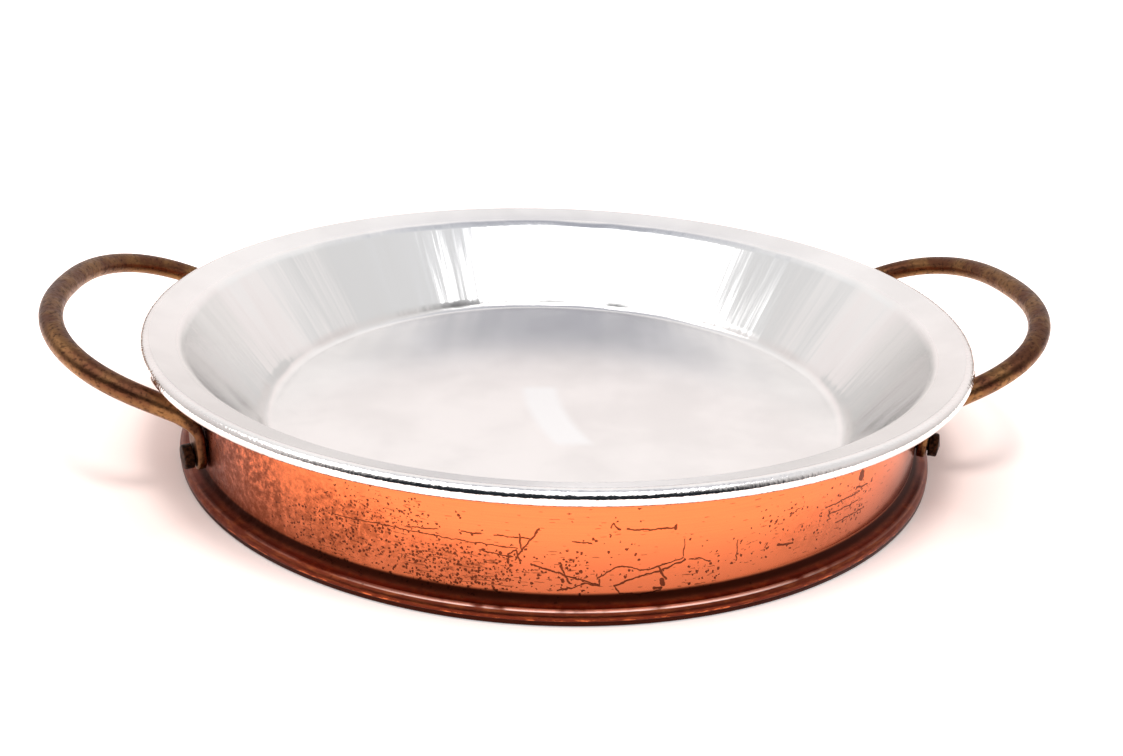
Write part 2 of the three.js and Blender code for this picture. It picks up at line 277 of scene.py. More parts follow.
# The rim runs straight from the shoulder and meets the bead as its tangent
bead_line = BEAD_RADIUS - half_sheet
to_bead = Vector((PAN_RADIUS - BEAD_RADIUS - shoulder_x, RIM_RISE - BEAD_RADIUS + half_sheet))
rim_angle = math.atan2(to_bead.y, to_bead.x) + math.asin(bead_line / to_bead.length)
rim_length = math.sqrt(to_bead.length_squared - bead_line ** 2)
shoulder_cut = SHOULDER_RADIUS * math.tan((slope - rim_angle) / 2)
bm = bmesh.new()
draw_section(bm, (0, RIM_HEIGHT - half_sheet - PAN_DEPTH), 0, [
    (BOTTOM_STEP, 0),
    (BOTTOM_STEP, 0),
    (heel_x - heel_cut - 2 * BOTTOM_STEP, 0),
    (HEEL_RADIUS, math.degrees(slope)),
    (math.hypot(shoulder_x - heel_x, PAN_DEPTH) - heel_cut - shoulder_cut, 0),
    (SHOULDER_RADIUS, math.degrees(rim_angle - slope)),
    (rim_length - shoulder_cut, 0),
    (bead_line, -BEAD_TURN)], PAN_FACET)
turn_on_lathe(bm, LATHE_STEPS)
pan = make_piece(bm, "spun_pie_pan", spun_aluminium, "pan", "pie_pan")
thicken(pan, SHEET)


# Holder ring. One band of copper sheet, bent round and joined: the top folded over into a hem, the wall
# straight, the bottom coved out and rolled down into the foot that it stands on. It carries the pan in
# its mouth and the handles on its wall.
RING_HEIGHT = 31.2
RING_RADIUS = 113.69
HEM_DEPTH = 2.2
FOLD_RADIUS = 0.55
COVE_TOP = 6.2
COVE_RADIUS = 3.0
CREST_RUN = 0.6
CREST_RADIUS = 0.8
BROW_RADIUS = 1.0
BROW_ANGLE = 45
FOOT_RADIUS = 118.5
TOE_RADIUS = 0.05
SEAT_WIDTH = 2.0
RING_FACET = 9

# Polished copper: rich orange where the cloth went, with fine lines round the wall, but pitted, scratched
# and stained, and darker towards the bottom as painted shade. The cove and the foot have kept their dark
# red-brown oxide, with a painted highlight along the crest, specks of bare copper worn on the edge and
# painted shade on the toe underneath, and purple-brown tarnish is left by the handles' ears.
COPPER = colour("#F6844F")
COPPER_SHADE_AND_LINES = colour("#BE6A46")
COPPER_PAINTED_HIGHLIGHT = colour("#FFDDD0")
COPPER_STAIN = colour("#8A4629")
OXIDE = colour("#4E2316")
OXIDE_DARK_AND_SHADE = colour("#3E190F")
FOOT_BROWN = colour("#6E3020")
TARNISH = colour("#5C3A38")
# Pits: the spacing of their places, the least and greatest radius as shares of it, the softness of their
# edges, and the size and reach of the noise that makes them ragged
PIT = 0.8
PIT_SIZES = (0.18, 0.52)
PIT_EDGE = 0.04
RAGGED = (0.7, 0.9)
# Where the pits crowd: degrees round from the front, height, half width in degrees, half height, and the
# share of places that are pitted
PIT_CLUSTERS = [
    (-18, 11, 11, 7.0, 1.1), (-28, 19, 9, 9.0, 0.7), (-34, 12, 10, 9.0, 0.7), (-6, 11, 6, 7.0, 0.45),
    (12, 9, 3.6, 4.5, 0.55), (24, 19, 6, 7.0, 0.35), (34, 17, 7, 9.0, 0.35), (20, 13, 8, 5.0, 0.25),
    (0, 14, 40, 14, 0.05),
    (150, 12, 16, 7.0, 0.5), (-120, 16, 14, 9.0, 0.5), (98, 10, 12, 6.0, 0.5), (-165, 20, 10, 6.0, 0.4)]
# Where brown stain clouds the polish, in the same terms
STAINS = [
    (-36, 16, 13, 13, 1.1), (-21, 12, 12, 8, 0.55), (30, 14, 9, 8, 0.4), (-53, 15, 16, 20, 1.8),
    (140, 15, 30, 10, 0.6), (-140, 12, 26, 9, 0.6), (80, 18, 12, 12, 0.5), (-85, 18, 12, 12, 0.6)]
# A patch is gone past this many half widths from its middle, and full within this many
PATCH_GONE = 1.25
PATCH_FULL = 0.35
# Scratches: width, then points as degrees round from the front and height
SCRATCHES = [
    (0.35, (-7.9, 22.7), (-8.7, 20.3), (-9.9, 16.8), (-10.5, 14.3)),
    (0.30, (-10.1, 21.4), (-9.8, 16.8)),
    (0.30, (-11.3, 13.5), (-11.4, 15.9), (-10.4, 17.1), (-9.9, 13.7)),
    (0.25, (-9.8, 20.5), (-8.8, 20.3), (-8.0, 22.0)),
    (0.30, (-8.7, 13.6), (-5.9, 11.8), (-0.8, 8.3)),
    (0.38, (-5.2, 13.6), (-4.1, 8.8)),
    (0.25, (-5.5, 6.9), (-3.8, 7.5), (-2.4, 8.7), (-0.6, 8.0), (-0.7, 9.6)),
    (0.28, (2.2, 22.9), (5.2, 22.5), (8.2, 22.6)),
    (0.40, (8.1, 23.2), (8.2, 22.1)),
    (0.28, (0.4, 23.5), (0.6, 24.6), (0.9, 23.7), (1.4, 23.0)),
    (0.30, (1.1, 7.8), (3.7, 9.9), (6.5, 11.1), (9.6, 13.4)),
    (0.25, (1.1, 7.8), (1.9, 5.8), (4.3, 5.2), (6.8, 5.8)),
    (0.20, (10.2, 13.5), (11.5, 13.4), (12.9, 12.1)),
    (0.22, (-0.8, 10.2), (1.1, 12.8), (2.6, 13.1), (4.1, 11.8), (5.2, 11.7), (7.5, 13.1), (9.4, 14.1)),
    (0.20, (9.3, 19.1), (9.4, 14.5)),
    (0.24, (16.4, 16.4), (16.5, 10.7)),
    (0.35, (6.4, 12.4), (7.4, 8.6)),
    (1.00, (6.9, 8.6), (7.1, 7.3)),
    (0.60, (6.1, 6.5), (6.9, 6.4)),
    (0.18, (-23.6, 19.6), (-19.7, 20.3)),
    (0.20, (-16.9, 20.7), (-14.5, 20.5)),
    (0.18, (-13.0, 20.7), (-9.9, 20.4)),
    (0.14, (-34.0, 17.6), (-27.1, 18.5), (-19.5, 18.5), (-10.3, 17.7)),
    (0.20, (-4.0, 19.9), (-1.7, 19.6)),
    (0.18, (-14.7, 16.2), (-10.9, 15.2)),
    (2.00, (36.9, 24.0), (36.9, 22.8)),
    (0.50, (36.2, 20.4), (38.7, 19.6)),
    (0.22, (30.1, 18.5), (37.1, 18.7)),
    (0.22, (30.7, 16.1), (37.0, 16.2)),
    (0.22, (32.6, 12.8), (38.4, 12.8)),
    (0.45, (22.5, 12.4), (25.0, 11.6)),
    (0.25, (171, 20), (176, 12), (183, 9)),
    (0.25, (-100, 22), (-112, 17), (-118, 18)),
    (0.30, (118, 8), (126, 11), (137, 9))]
# Distance from its edge at which a scratch begins to show and at which it is full, the size and reach of
# its wavering, and a distance past all of them
SCRATCH_EDGE = (0.1, -0.03)
WAVERING = (1.6, 1.1)
FAR_OFF = 1000
# Size of the marks and streaks that lie along the wall: round it, up it, and 1 for the third axis. The
# rubbed lines are drawn coarser than a polishing cloth's, so that they show.
RUBBED_LINE = (14, 0.35, 1)
DASH = (3.5, 0.5, 1)
FOOT_STREAK = (4, 0.7, 1)
# Size of the clouds in the colour, and of the hammered dimples
STAIN_CLOUD = 2.2
TARNISH_CLOUD = 5
CREST_HIGHLIGHT_CLOUD = 9
DIMPLE = 12
# The levels of each noise between which it comes to show
LINE_LEVELS = (0.35, 0.75)
DASH_LEVELS = (0.71, 0.74)
STAIN_LEVELS = (0.28, 0.72)
TARNISH_LEVELS = (0.2, 0.72)
STREAK_LEVELS = (0.44, 0.68)
SPECK_LEVELS = (0.5, 0.62)
CREST_HIGHLIGHT_LEVELS = (0.3, 0.5)
# How much each of them shows
LINE_SHARE = 0.22
DASH_SHARE = 0.55
DASHES_BY_PITS = 0.1
MARK_SHARE = 0.85
EDGE_SHARE = 0.8
# Heights between which painted shade darkens the wall towards the bottom, the wall begins, the crest's
# painted highlight begins, the worn edge runs, the crease runs, and the toe's painted shade begins
LOWER_WALL_SHADE = (24, 7)
WALL_BORDER = (5.3, 6.3)
CREST_HEIGHT = (3.25, 3.4)
WORN_EDGE = (1.45, 1.6, 1.8, 2.0)
CREASE = (1.0, 1.15, 1.35, 1.5)
TOE_SHADE_BORDER = (1.35, 1.2)
# Radii between which the crest's painted highlight begins, the cove begins, and the band's inside ends
CREST_LINE = (116.6, 116.8)
COVE_BORDER = (116.0, 114.3)
OUTSIDE = (RING_RADIUS - 0.7, RING_RADIUS - 0.5)
# Distance along X at which the ears' tarnish begins and is full, the turn from the front, in radians, over
# which the crest's painted highlight falls, and the least that is left of it behind
EAR_TARNISH = (82, 108)
CREST_HIGHLIGHT_FRONT = (0.6, 0.2)
CREST_HIGHLIGHT_BEHIND = 0.06
WALL_SHEEN = 0.2
FOOT_SHEEN = 0.4
COVE_SHEEN = 0.62
MARKS_DULLER = 0.25
MARK_DEPTH = 0.05
LINE_DEPTH = 0.004
DIMPLE_DEPTH = 0.12
CREASE_DEPTH = 0.15

polished_copper, tree = start_material("Polished copper with tarnish")
place = place_in_mm(tree)
axes = add(tree, "SeparateXYZ", [place])
height = axes.outputs["Z"]
level = add(tree, "VectorMath", [place, (1, 1, 0)], operation="MULTIPLY")
radius = add(tree, "VectorMath", [level], operation="LENGTH")
frontwards = add(tree, "Math", [axes.outputs["Y"], -1.0], operation="MULTIPLY")
from_front = add(tree, "Math", [axes.outputs["X"], frontwards], operation="ARCTAN2")
round_wall = add(tree, "Math", [from_front, RING_RADIUS], operation="MULTIPLY")
wall_place = add(tree, "CombineXYZ", {"X": round_wall, "Y": height})


def wall_point(degrees, high):
    """A place on the unrolled wall."""
    return Vector((math.radians(degrees) * RING_RADIUS, high, 0))


def patches(tree, wall_place, spots):
    """Soft oval patches on the unrolled wall: at each place, the share of the strongest."""
    strongest = 0
    for degrees, high, wide, tall, share in spots:
        away = add(tree, "VectorMath", [wall_place, wall_point(degrees, high)], operation="SUBTRACT")
        oval = (1 / (math.radians(wide) * RING_RADIUS), 1 / tall, 0)
        away = add(tree, "VectorMath", [away, oval], operation="MULTIPLY")
        away = add(tree, "VectorMath", [away], operation="LENGTH")
        patch = add(tree, "MapRange", [away, PATCH_GONE, PATCH_FULL, 0, share],
                    interpolation_type="SMOOTHSTEP")
        strongest = add(tree, "Math", [strongest, patch], operation="MAXIMUM")
    return strongest


def scratch_lines(tree, wall_place, lines):
    """Distance to the nearest edge of any scratch, below zero inside one."""
    nearest = FAR_OFF
    for wide, *points in lines:
        corners = [wall_point(*point) for point in points]
        for first, second in zip(corners, corners[1:]):
            run = second - first
            away = add(tree, "VectorMath", [wall_place, first], operation="SUBTRACT")
            along = add(tree, "VectorMath", [away, run / run.length_squared], operation="DOT_PRODUCT")
            along = add(tree, "Clamp", [along])
            foot = add(tree, "VectorMath", [run, along], operation="SCALE")
            gap = add(tree, "VectorMath", [away, foot], operation="DISTANCE")
            edge = add(tree, "Math", [gap, wide / 2], operation="SUBTRACT")
            nearest = add(tree, "Math", [nearest, edge], operation="MINIMUM")
    return nearest


def jostled(tree, place, where, size, reach):
    """Where a spot is, pushed about over the given reach by a noise of the given size."""
    push = add(tree, "TexNoise", {"Vector": place, "Scale": 1 / size, "Detail": 2.0}).outputs["Color"]
    push = add(tree, "VectorMath", [push, (0.5, 0.5, 0.5)], operation="SUBTRACT")
    push = add(tree, "VectorMath", [push, reach], operation="SCALE")
    return add(tree, "VectorMath", [where, push], operation="ADD")


# Pits: one spot in each cell of a cell pattern, of its own size, left out where they do not crowd
crowding = patches(tree, wall_place, PIT_CLUSTERS)
cells = add(tree, "TexVoronoi", {"Vector": jostled(tree, place, place, *RAGGED), "Scale": 1 / PIT})
chance = add(tree, "SeparateColor", [cells.outputs["Color"]])
pit_size = add(tree, "MapRange", [chance.outputs["Red"], 0, 1, *PIT_SIZES])
pits = add(tree, "Math", [cells.outputs["Distance"], pit_size], operation="SUBTRACT")
pits = add(tree, "MapRange", [pits, PIT_EDGE, -PIT_EDGE], interpolation_type="SMOOTHSTEP")
kept = add(tree, "Math", [chance.outputs["Green"], crowding], operation="LESS_THAN")
pits = add(tree, "Math", [pits, kept], operation="MULTIPLY")
# Scratches, wavering a little
wavering = jostled(tree, place, wall_place, *WAVERING)
wavering = add(tree, "VectorMath", [wavering, (1, 1, 0)], operation="MULTIPLY")
scratches = scratch_lines(tree, wavering, SCRATCHES)
scratches = add(tree, "MapRange", [scratches, *SCRATCH_EDGE], interpolation_type="SMOOTHSTEP")
# Rubbed lines round the wall, and short dark dashes along them, which come thicker among the pits
line_place = add(tree, "VectorMath", [wall_place, RUBBED_LINE], operation="DIVIDE")
rubbed_lines = add(tree, "TexNoise", {"Vector": line_place, "Scale": 1.0, "Detail": 2.0})
dash_place = add(tree, "VectorMath", [wall_place, DASH], operation="DIVIDE")
dashes = add(tree, "TexNoise", {"Vector": dash_place, "Scale": 1.0, "Detail": 1.0})
thicker = add(tree, "Math", [crowding, DASHES_BY_PITS], operation="MULTIPLY")
dashes = add(tree, "Math", [dashes, thicker], operation="ADD")
dashes = add(tree, "MapRange", [dashes, *DASH_LEVELS], interpolation_type="SMOOTHSTEP")
dashes = add(tree, "Math", [dashes, DASH_SHARE], operation="MULTIPLY")
# Colour of the wall: polish darkened towards the bottom as painted shade, rubbed lines, brown stain, tarnish
# by the ears, and marks down to the oxide
wall_shade = add(tree, "MapRange", [height, *LOWER_WALL_SHADE], interpolation_type="SMOOTHSTEP")
shaded_polish = add(tree, "Mix", [wall_shade, COPPER, COPPER_SHADE_AND_LINES], data_type="RGBA")
lined = add(tree, "MapRange", [rubbed_lines, *LINE_LEVELS], interpolation_type="SMOOTHSTEP")
lined = add(tree, "Math", [lined, LINE_SHARE], operation="MULTIPLY")
shaded_polish = add(tree, "Mix", [lined, shaded_polish, COPPER_SHADE_AND_LINES], data_type="RGBA")
stain = add(tree, "TexNoise", {"Vector": place, "Scale": 1 / STAIN_CLOUD, "Detail": 6.0, "Roughness": 0.8})
stain = add(tree, "MapRange", [stain, *STAIN_LEVELS], interpolation_type="SMOOTHSTEP")
stain = add(tree, "Math", [patches(tree, wall_place, STAINS), stain], operation="MULTIPLY")
stained = add(tree, "Mix", [stain, shaded_polish, COPPER_STAIN], data_type="RGBA")
to_side = add(tree, "Math", [axes.outputs["X"]], operation="ABSOLUTE")
by_ears = add(tree, "MapRange", [to_side, *EAR_TARNISH], interpolation_type="SMOOTHSTEP")
tarnish = add(tree, "TexNoise", {
    "Vector": place, "Scale": 1 / TARNISH_CLOUD, "Detail": 5.0, "Roughness": 0.7})
tarnish = add(tree, "MapRange", [tarnish, *TARNISH_LEVELS], interpolation_type="SMOOTHSTEP")
tarnish = add(tree, "Math", [by_ears, tarnish], operation="MULTIPLY")
tarnished = add(tree, "Mix", [tarnish, stained, TARNISH], data_type="RGBA")
marked = add(tree, "Math", [pits, scratches], operation="MAXIMUM")
marked = add(tree, "Math", [marked, dashes], operation="MAXIMUM")
mark_share = add(tree, "Math", [marked, MARK_SHARE], operation="MULTIPLY")
wall_colour = add(tree, "Mix", [mark_share, tarnished, OXIDE], data_type="RGBA")
# Colour of the foot: brown in streaks, and a painted highlight along the crest, most of all in front
streaks = add(tree, "VectorMath", [wall_place, FOOT_STREAK], operation="DIVIDE")
streaks = add(tree, "TexNoise", {"Vector": streaks, "Scale": 1.0, "Detail": 5.0, "Roughness": 0.65})
streaked = add(tree, "MapRange", [streaks, *STREAK_LEVELS], interpolation_type="SMOOTHSTEP")
foot_colour = add(tree, "Mix", [streaked, FOOT_BROWN, COPPER_STAIN], data_type="RGBA")
in_front = add(tree, "Math", [from_front], operation="ABSOLUTE")
in_front = add(tree, "MapRange", [in_front, *CREST_HIGHLIGHT_FRONT], interpolation_type="SMOOTHSTEP")
in_front = add(tree, "MapRange", [in_front, 0, 1, CREST_HIGHLIGHT_BEHIND, 1])
crest_highlight = add(tree, "TexNoise", {"Vector": place, "Scale": 1 / CREST_HIGHLIGHT_CLOUD, "Detail": 3.0})
crest_highlight = add(tree, "MapRange", [crest_highlight, *CREST_HIGHLIGHT_LEVELS], interpolation_type="SMOOTHSTEP")
crest_highlight = add(tree, "Math", [crest_highlight, in_front], operation="MULTIPLY")
for value, border in ((height, CREST_HEIGHT), (radius, CREST_LINE)):
    on_crest = add(tree, "MapRange", [value, *border], interpolation_type="SMOOTHSTEP")
    crest_highlight = add(tree, "Math", [on_crest, crest_highlight], operation="MULTIPLY")
foot_colour = add(tree, "Mix", [crest_highlight, foot_colour, COPPER_PAINTED_HIGHLIGHT], data_type="RGBA")
# The cove is dark with its oxide. Below the brow the edge is worn in specks, above a dark crease and the
# toe underneath, darkened as painted shade.
in_cove = add(tree, "MapRange", [radius, *COVE_BORDER], interpolation_type="SMOOTHSTEP")
foot_colour = add(tree, "Mix", [in_cove, foot_colour, OXIDE_DARK_AND_SHADE], data_type="RGBA")
specks = add(tree, "MapRange", [streaks, *SPECK_LEVELS], interpolation_type="SMOOTHSTEP")
specks = add(tree, "Math", [soft_band(tree, height, *WORN_EDGE), specks], operation="MULTIPLY")
specks = add(tree, "Math", [specks, EDGE_SHARE], operation="MULTIPLY")
foot_colour = add(tree, "Mix", [specks, foot_colour, COPPER], data_type="RGBA")
crease = soft_band(tree, height, *CREASE)
crease_and_toe_shade = add(tree, "MapRange", [height, *TOE_SHADE_BORDER], interpolation_type="SMOOTHSTEP")
crease_and_toe_shade = add(tree, "Math", [crease, crease_and_toe_shade], operation="MAXIMUM")
foot_colour = add(tree, "Mix", [crease_and_toe_shade, foot_colour, OXIDE_DARK_AND_SHADE], data_type="RGBA")
# The whole band: the foot, the wall above it, and the inside, which was never polished
on_wall = add(tree, "MapRange", [height, *WALL_BORDER], interpolation_type="SMOOTHSTEP")
outer_colour = add(tree, "Mix", [on_wall, foot_colour, wall_colour], data_type="RGBA")
inner_colour = add(tree, "Mix", [streaked, OXIDE, COPPER_STAIN], data_type="RGBA")
outside = add(tree, "MapRange", [radius, *OUTSIDE], interpolation_type="SMOOTHSTEP")
band_colour = add(tree, "Mix", [outside, inner_colour, outer_colour], data_type="RGBA")
sheen = add(tree, "MapRange", [in_cove, 0, 1, FOOT_SHEEN, COVE_SHEEN])
sheen = add(tree, "Mix", [on_wall, sheen, WALL_SHEEN])
duller = add(tree, "Math", [marked, stain], operation="MAXIMUM")
duller = add(tree, "Math", [duller, MARKS_DULLER], operation="MULTIPLY")
sheen = add(tree, "Math", [sheen, duller], operation="ADD")
dimples = add(tree, "TexNoise", {"Vector": place, "Scale": 1 / DIMPLE, "Detail": 1.0})
surface = add(tree, "Math", [marked, -MARK_DEPTH], operation="MULTIPLY")
for layer, depth in ((rubbed_lines, LINE_DEPTH), (dimples, DIMPLE_DEPTH), (crease, -CREASE_DEPTH)):
    layer = add(tree, "Math", [layer, depth], operation="MULTIPLY")
    surface = add(tree, "Math", [surface, layer], operation="ADD")
relief = add(tree, "Bump", {"Strength": 1.0, "Distance": MM, "Height": surface})
finish_tree(tree, "Material", add(tree, "BsdfPrincipled", {
    "Base Color": band_colour, "Metallic": 1.0, "Roughness": sheen, "Normal": relief}))

wall_line = RING_RADIUS - half_sheet
fold_height = RING_HEIGHT - half_sheet - FOLD_RADIUS
crest_line = RING_RADIUS + COVE_RADIUS - half_sheet + CREST_RUN
brow = math.radians(BROW_ANGLE)
brow_run = (FOOT_RADIUS - half_sheet - crest_line - CREST_RADIUS * math.sin(brow)
            - BROW_RADIUS * (1 - math.sin(brow))) / math.cos(brow)
toe_top = (COVE_TOP - COVE_RADIUS - CREST_RADIUS * (1 - math.cos(brow)) - brow_run * math.sin(brow)
           - BROW_RADIUS * math.sin(brow))
bm = bmesh.new()
draw_section(bm, (wall_line + 2 * FOLD_RADIUS, RING_HEIGHT - HEM_DEPTH), 90, [
    (fold_height - RING_HEIGHT + HEM_DEPTH, 0),
    (FOLD_RADIUS, 180),
    (fold_height - COVE_TOP, 0),
    (COVE_RADIUS, 90),
    (CREST_RUN, 0),
    (CREST_RADIUS, -BROW_ANGLE),
    (brow_run, 0),
    (BROW_RADIUS, BROW_ANGLE - 90),
    (toe_top - half_sheet - TOE_RADIUS, 0),
    (TOE_RADIUS, -90),
    (SEAT_WIDTH, 0)], RING_FACET)
turn_on_lathe(bm, LATHE_STEPS)
ring = make_piece(bm, "copper_holder_ring", polished_copper, "holder", "holder_ring")
thicken(ring, SHEET)


# Handles. Each is one brass rod, bent to a squarish D that tilts up outwards. Its two ends turn down,
# are hammered flat into ears with round tips, and are riveted to the ring.
ROD_RADIUS = 3.175
HALF_WIDTH = 49.6
LEG = 8.0
REACH = 37.79
SQUARENESS = 2.33
TILT = math.radians(25.98)
BEND_RADIUS = 8.0
BEND_HEIGHT = 17.4
EAR_X = 104.3
EAR_GAP = 0.3
EAR_THICKNESS = 3.0
EAR_ANGLE = math.asin(HALF_WIDTH / (RING_RADIUS + EAR_GAP + EAR_THICKNESS / 2))
EAR_WIDTH = 9.4
EAR_TIP_HEIGHT = 7.4
RIVET_HEIGHT = 11.6
# The rod's section is a rounded square: 2 makes it round, 4 is the flattened ear's
ROUND = 2
FLATTENED = 4
# The ear thins to this share of its thickness at its tip, whose last cut is short of a point
TIP_SHARE = 0.55
TIP_BLUNTNESS = 0.6
LOOP_STEPS = 40
BEND_STEPS = 14
TIP_STEPS = 12
ROD_SIDES = 32
LOOK_AHEAD = 0.01
MERGE_GAP = 0.01

# Aged brass: brown with darker specks, half matt, golden metal in clouds where hands rub it, and more
# golden along the underside of the rod
BRASS = colour("#A27A4C")
BRASS_BROWN = colour("#643F2D")
BRASS_DARK = colour("#2E1C17")
RUB_CLOUD = 9
RUB_LEVELS = (0.4, 0.62)
RUB_SHARE = 0.4
BRASS_SPECK = 1.1
BRASS_SPECK_LEVELS = (0.5, 0.68)
BRASS_SPECK_SHARE = 0.6
# How far the surface faces up where the golden underside begins and is full
UNDERSIDE = (0.35, -0.75)
UNDERSIDE_SHARE = 0.6
# Levels of the specks, and the roughness at them
BRASS_SHEEN = (0.3, 0.7, 0.3, 0.5)
DENT_DEPTH = 0.5
PORE_DEPTH = 0.03

aged_brass, tree = start_material("Aged brass")
place = place_in_mm(tree)
cloud = add(tree, "TexNoise", {"Vector": place, "Scale": 1 / RUB_CLOUD, "Detail": 4.0, "Roughness": 0.6})
specks = add(tree, "TexNoise", {"Vector": place, "Scale": 1 / BRASS_SPECK, "Detail": 3.0, "Roughness": 0.6})
facing = add(tree, "SeparateXYZ", [add(tree, "NewGeometry").outputs["Normal"]])
below = add(tree, "MapRange", [facing.outputs["Z"], *UNDERSIDE], interpolation_type="SMOOTHSTEP")
below = add(tree, "Math", [below, UNDERSIDE_SHARE], operation="MULTIPLY")
golden = add(tree, "MapRange", [cloud, *RUB_LEVELS], interpolation_type="SMOOTHSTEP")
golden = add(tree, "Math", [golden, RUB_SHARE], operation="MULTIPLY")
golden = add(tree, "Math", [golden, below], operation="ADD")
rod_colour = add(tree, "Mix", [golden, BRASS_BROWN, BRASS], data_type="RGBA")
specked = add(tree, "MapRange", [specks, *BRASS_SPECK_LEVELS], interpolation_type="SMOOTHSTEP")
specked = add(tree, "Math", [specked, BRASS_SPECK_SHARE], operation="MULTIPLY")
rod_colour = add(tree, "Mix", [specked, rod_colour, BRASS_DARK], data_type="RGBA")
sheen = add(tree, "MapRange", [specks, *BRASS_SHEEN])
dents = add(tree, "Math", [cloud, DENT_DEPTH], operation="MULTIPLY")
pores = add(tree, "Math", [specks, PORE_DEPTH], operation="MULTIPLY")
surface = add(tree, "Math", [dents, pores], operation="ADD")
relief = add(tree, "Bump", {"Strength": 1.0, "Distance": MM, "Height": surface})
finish_tree(tree, "Material", add(tree, "BsdfPrincipled", {
    "Base Color": rod_colour, "Metallic": 1.0, "Roughness": sheen, "Normal": relief}))


def shaped(value, power):
    """A cosine or sine drawn out towards a square corner."""
    return math.copysign(abs(value) ** (2 / power), value)


def rod_stations():
    """Places along half a handle, from the middle of the loop to an ear's tip.

    Each has its centre, the rod's direction, the direction of its thickness, and its section: half
    width, half thickness and squareness.
    """
    outward = Vector((math.cos(TILT), 0, math.sin(TILT)))
    lift = Vector((-math.sin(TILT), 0, math.cos(TILT)))
    turn_end = math.pi / 2 - TILT

    def bend_point(angle):
        return Vector((EAR_X + BEND_RADIUS * (1 - math.cos(angle)), 0,
                       BEND_HEIGHT + BEND_RADIUS * math.sin(angle)))

    def loop_point(angle):
        reach = LEG + REACH * shaped(math.sin(angle), SQUARENESS)
        aside = Vector((0, HALF_WIDTH * shaped(math.cos(angle), SQUARENESS), 0))
        return bend_point(turn_end) + outward * reach + aside

    stations = []
    for i in range(LOOP_STEPS + 1):
        angle = math.pi / 2 * (1 - i / LOOP_STEPS)
        ahead = loop_point(max(angle - LOOK_AHEAD, 0)) - loop_point(angle + LOOK_AHEAD)
        along = -outward if i == LOOP_STEPS else ahead.normalized()
        stations.append((loop_point(angle), along, lift, ROD_RADIUS, ROD_RADIUS, ROUND))
    side = Vector((0, HALF_WIDTH, 0))
    for i in range(BEND_STEPS + 1):
        share = 1 - i / BEND_STEPS
        angle = turn_end * share
        rounding = share * share * (3 - 2 * share)
        along = Vector((math.sin(angle), 0, math.cos(angle)))
        across = Vector((-math.cos(angle), 0, math.sin(angle)))
        across.rotate(Matrix.Rotation(EAR_ANGLE * (1 - rounding), 3, along))
        stations.append((side + bend_point(angle), -along, across,
                         EAR_WIDTH / 2 + (ROD_RADIUS - EAR_WIDTH / 2) * rounding,
                         EAR_THICKNESS / 2 + (ROD_RADIUS - EAR_THICKNESS / 2) * rounding,
                         FLATTENED + (ROUND - FLATTENED) * rounding))
    across = Vector((-math.cos(EAR_ANGLE), -math.sin(EAR_ANGLE), 0))
    tip = EAR_WIDTH / 2
    for i in range(TIP_STEPS):
        angle = math.pi / 2 * i / (TIP_STEPS - TIP_BLUNTNESS)
        centre = side + Vector((EAR_X, 0, EAR_TIP_HEIGHT + tip * (1 - math.sin(angle))))
        thin = EAR_THICKNESS / 2 * min(1, TIP_SHARE + (1 - TIP_SHARE) * math.sqrt(math.cos(angle)))
        stations.append((centre, Vector((0, 0, -1)), across, tip * math.cos(angle), thin, FLATTENED))
    return stations


def make_handle(name, node, turn):
    """Draws the rod out station by station, mirrors it at the loop's middle, and turns it to its side."""
    bm = bmesh.new()
    ring_verts = bmesh.ops.create_circle(bm, segments=ROD_SIDES, radius=1)["verts"]
    ring_edges = bm.edges[:]
    for number, (centre, along, across, wide, thick, power) in enumerate(rod_stations()):
        if number:
            pulled = bmesh.ops.extrude_edge_only(bm, edges=ring_edges)["geom"]
            ring_edges = [part for part in pulled if isinstance(part, bmesh.types.BMEdge)]
            ring_edges = [edge for edge in ring_edges if len(edge.link_faces) == 1]
            ring_verts = [part for part in pulled if isinstance(part, bmesh.types.BMVert)]
        sideways = across.cross(along).normalized()
        for step, vert in enumerate(ring_verts):
            angle = math.tau * step / ROD_SIDES
            vert.co = (centre + sideways * wide * shaped(math.cos(angle), power)
                       + across * thick * shaped(math.sin(angle), power))
    bmesh.ops.contextual_create(bm, geom=ring_edges)
    bmesh.ops.mirror(bm, geom=bm.verts[:] + bm.edges[:] + bm.faces[:], matrix=Matrix.Identity(4),
                     merge_dist=MERGE_GAP, axis="Y")
    bmesh.ops.remove_doubles(bm, verts=bm.verts[:], dist=MERGE_GAP)
    bmesh.ops.recalc_face_normals(bm, faces=bm.faces[:])
    bmesh.ops.rotate(bm, cent=(0, 0, 0), matrix=Matrix.Rotation(turn, 3, "Z"), verts=bm.verts[:])
    make_piece(bm, name, aged_brass, "holder", node)


make_handle("brass_handle_right", "handle_right", 0)
make_handle("brass_handle_left", "handle_left", math.pi)


# Rivets. One brass rivet through each ear and the ring's wall: a tall button head outside, and a tail
# hammered into a low dome inside.
SHANK_RADIUS = 2.0
HEAD_RADIUS = 3.4
HEAD_FOOT_RADIUS = 0.1
HEAD_SIDE = 1.9
HEAD_EDGE = 0.6
HEAD_EDGE_TURN = 80
TAIL_RADIUS = 3.2
TAIL_HEIGHT = 1.3
RIVET_GAP = 0.3
SHARP = 0.01
RIVET_FACET = 10
RIVET_STEPS = 40

# Darkened brass: half matt oxide, almost black, with brown specks
RIVET_BROWN = colour("#4A2E1F")
RIVET_BLACK = colour("#20140E")
RIVET_SPECK = 0.9
RIVET_SPECK_LEVELS = (0.4, 0.65)
RIVET_SPECK_DEPTH = 0.12
RIVET_SHEEN = 0.55

